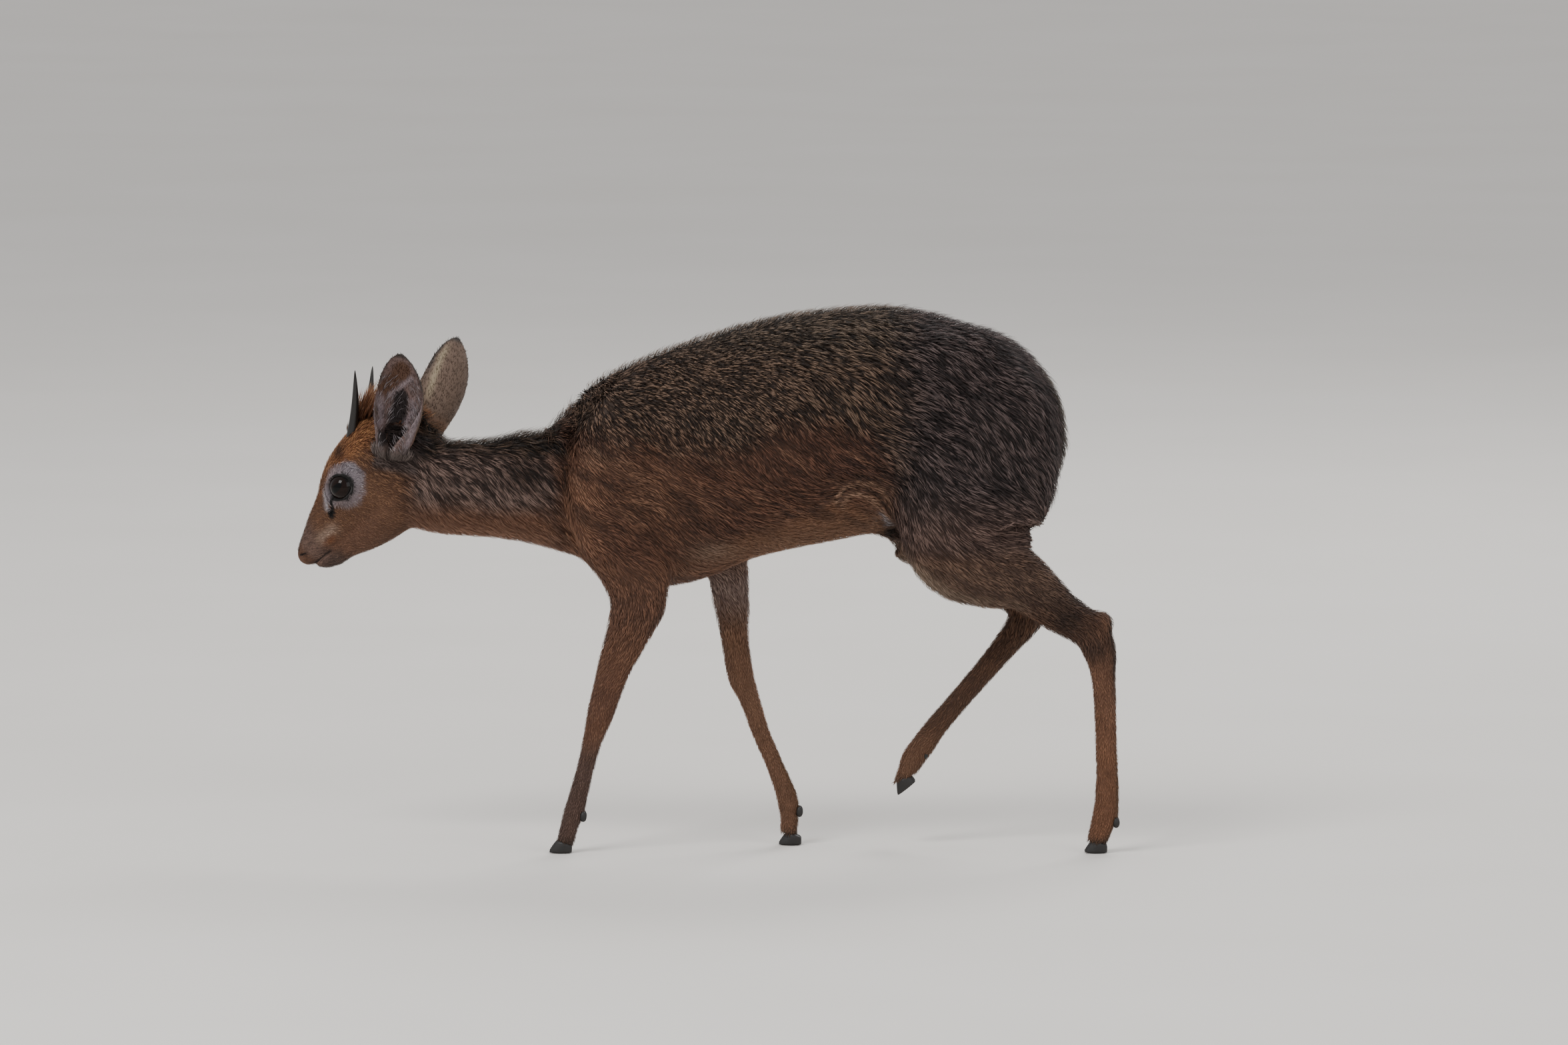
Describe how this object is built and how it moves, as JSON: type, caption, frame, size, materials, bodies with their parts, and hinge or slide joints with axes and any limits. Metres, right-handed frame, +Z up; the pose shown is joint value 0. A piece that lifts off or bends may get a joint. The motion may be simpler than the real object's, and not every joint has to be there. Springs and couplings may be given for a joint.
{
  "type": "dik-dik antelope figure",
  "caption": "Life-size still figure of a small male antelope walking with its head low: slender legs, large cupped ears, short straight horns, long soft muzzle.",
  "frame": {"origin": "centre of the bounding box's base, on the floor between the feet", "axes": "the animal faces -X, its left side is -Y and up is +Z, with the soles of the three standing feet at Z = 0"},
  "size_m": [0.6756, 0.1338, 0.4469],
  "materials": {
    "face_coat": "short soft hair",
    "neck_coat": "grizzled hair",
    "body_coat": "grizzled hair",
    "leg_coat": "short flat hair",
    "ear_skin": "matte, thinly haired",
    "horn": "satin black",
    "hoof": "satin black",
    "eye": "wet gloss"
  },
  "bodies": {
    "root": {"head": "face_coat", "neck": "neck_coat", "torso": "body_coat", "tail": "body_coat", "leg_fore_left_upper": "leg_coat", "leg_fore_left_lower": "leg_coat", "leg_fore_right_upper": "leg_coat", "leg_fore_right_lower": "leg_coat", "leg_hind_left_upper": "leg_coat", "leg_hind_left_lower": "leg_coat", "leg_hind_right_upper": "leg_coat", "leg_hind_right_lower": "leg_coat", "ear_left": "ear_skin", "ear_right": "ear_skin", "horn_left": "horn", "horn_right": "horn", "eye_left": "eye", "eye_right": "eye", "hoof_fore_left_outer": "hoof", "hoof_fore_left_inner": "hoof", "hoof_fore_right_outer": "hoof", "hoof_fore_right_inner": "hoof", "hoof_hind_left_outer": "hoof", "hoof_hind_left_inner": "hoof", "hoof_hind_right_outer": "hoof", "hoof_hind_right_inner": "hoof", "dewclaw_fore_left_outer": "hoof", "dewclaw_fore_left_inner": "hoof", "dewclaw_fore_right_outer": "hoof", "dewclaw_fore_right_inner": "hoof", "dewclaw_hind_left_outer": "hoof", "dewclaw_hind_left_inner": "hoof", "dewclaw_hind_right_outer": "hoof", "dewclaw_hind_right_inner": "hoof"}
  },
  "joints": []
}
